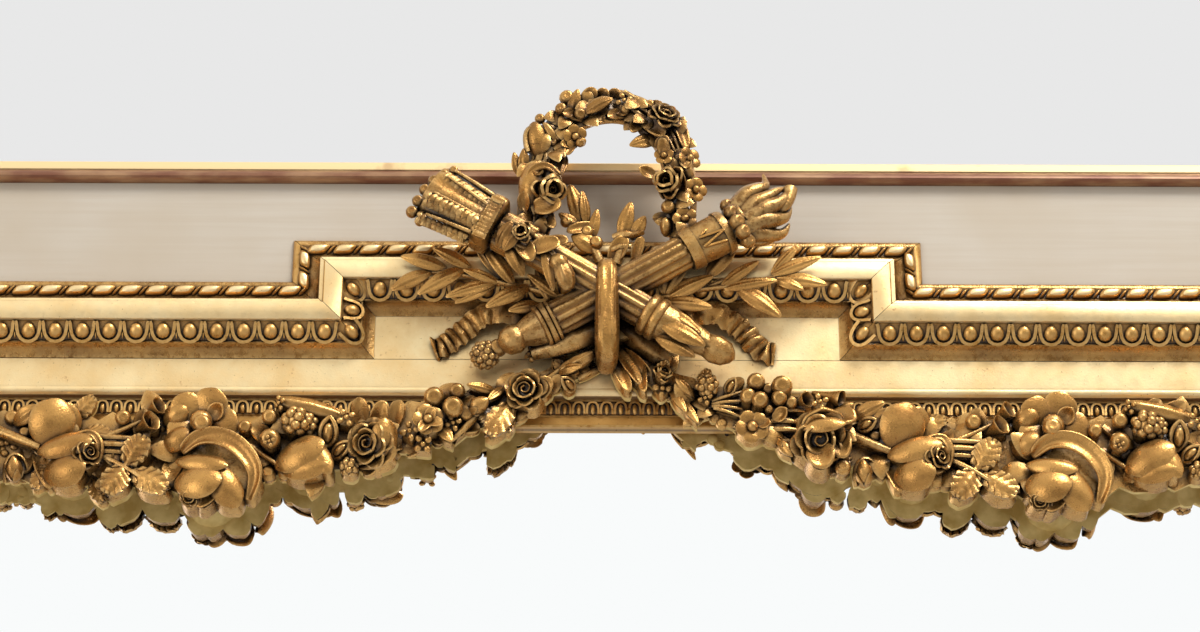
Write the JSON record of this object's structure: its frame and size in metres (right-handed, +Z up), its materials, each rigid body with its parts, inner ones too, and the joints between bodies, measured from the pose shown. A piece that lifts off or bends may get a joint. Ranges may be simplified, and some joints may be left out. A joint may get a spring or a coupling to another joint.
{
  "type": "trumeau mirror",
  "caption": "Tall wall mirror in a painted and gilded wood frame, with a stepped gilt moulding, rose garlands and a crest of wreath, quiver and torch.",
  "frame": {"origin": "centre of the rectangle of four wall screws, in the wall plane at the centre of the frame's back face", "axes": "+X right, +Z up and +Y into the wall; the mirror faces -Y"},
  "size_m": [1.644, 0.1092, 2.1886],
  "materials": {
    "painted_pine": "cream distemper paint over pine, brushed, slightly soiled",
    "bare_pine": "unfinished sawn pine, darkened with age",
    "oak_pegs": "riven oak, dry",
    "gilt_moulding": "water gilding over red-brown bole, burnished flats, rubbed edges",
    "gilt_bead": "water gilding worn through to red-brown bole",
    "gilt_carving": "matt gilding over carved wood and gesso, dark dirt in the recesses",
    "mirror_glass": "silvered plate glass",
    "steel_plate": "dull rolled steel",
    "iron_fixings": "dark iron, dry rust"
  },
  "bodies": {
    "root": {"backboard_1": "bare_pine", "backboard_2": "bare_pine", "backboard_3": "bare_pine", "backboard_4": "bare_pine", "backboard_5": "bare_pine", "backboard_6": "bare_pine", "backboard_nails": "iron_fixings", "bead_bottom": "gilt_bead", "bead_left": "gilt_bead", "bead_right": "gilt_bead", "bead_top": "gilt_bead", "crest_block": "gilt_carving", "crest_panel": "gilt_moulding", "fascia_bottom": "gilt_moulding", "fascia_left": "gilt_moulding", "fascia_right": "gilt_moulding", "fascia_top": "gilt_moulding", "frame_pegs": "oak_pegs", "garland_left": "gilt_carving", "garland_pins": "iron_fixings", "garland_right": "gilt_carving", "glass_blocks": "bare_pine", "laurel_left": "gilt_carving", "laurel_right": "gilt_carving", "mirror_glass": "mirror_glass", "moulding_bottom": "gilt_moulding", "moulding_left": "gilt_moulding", "moulding_right": "gilt_moulding", "moulding_riser_left": "gilt_moulding", "moulding_riser_right": "gilt_moulding", "moulding_top_centre": "gilt_moulding", "moulding_top_left": "gilt_moulding", "moulding_top_right": "gilt_moulding", "plate_screws": "iron_fixings", "quiver": "gilt_carving", "rail_bottom": "painted_pine", "rail_top": "painted_pine", "ribbon_tail_left": "gilt_carving", "ribbon_tail_right": "gilt_carving", "rosette_left": "gilt_carving", "rosette_right": "gilt_carving", "side_drop_left": "gilt_carving", "side_drop_right": "gilt_carving", "sight_moulding_bottom": "gilt_moulding", "sight_moulding_left": "gilt_moulding", "sight_moulding_right": "gilt_moulding", "sight_moulding_top": "gilt_moulding", "sprig_left": "gilt_carving", "sprig_right": "gilt_carving", "stile_left": "painted_pine", "stile_right": "painted_pine", "tie_band": "gilt_carving", "torch": "gilt_carving", "wall_plate_bottom_left": "steel_plate", "wall_plate_bottom_right": "steel_plate", "wall_plate_top_left": "steel_plate", "wall_plate_top_right": "steel_plate", "wreath": "gilt_carving"}
  },
  "joints": []
}
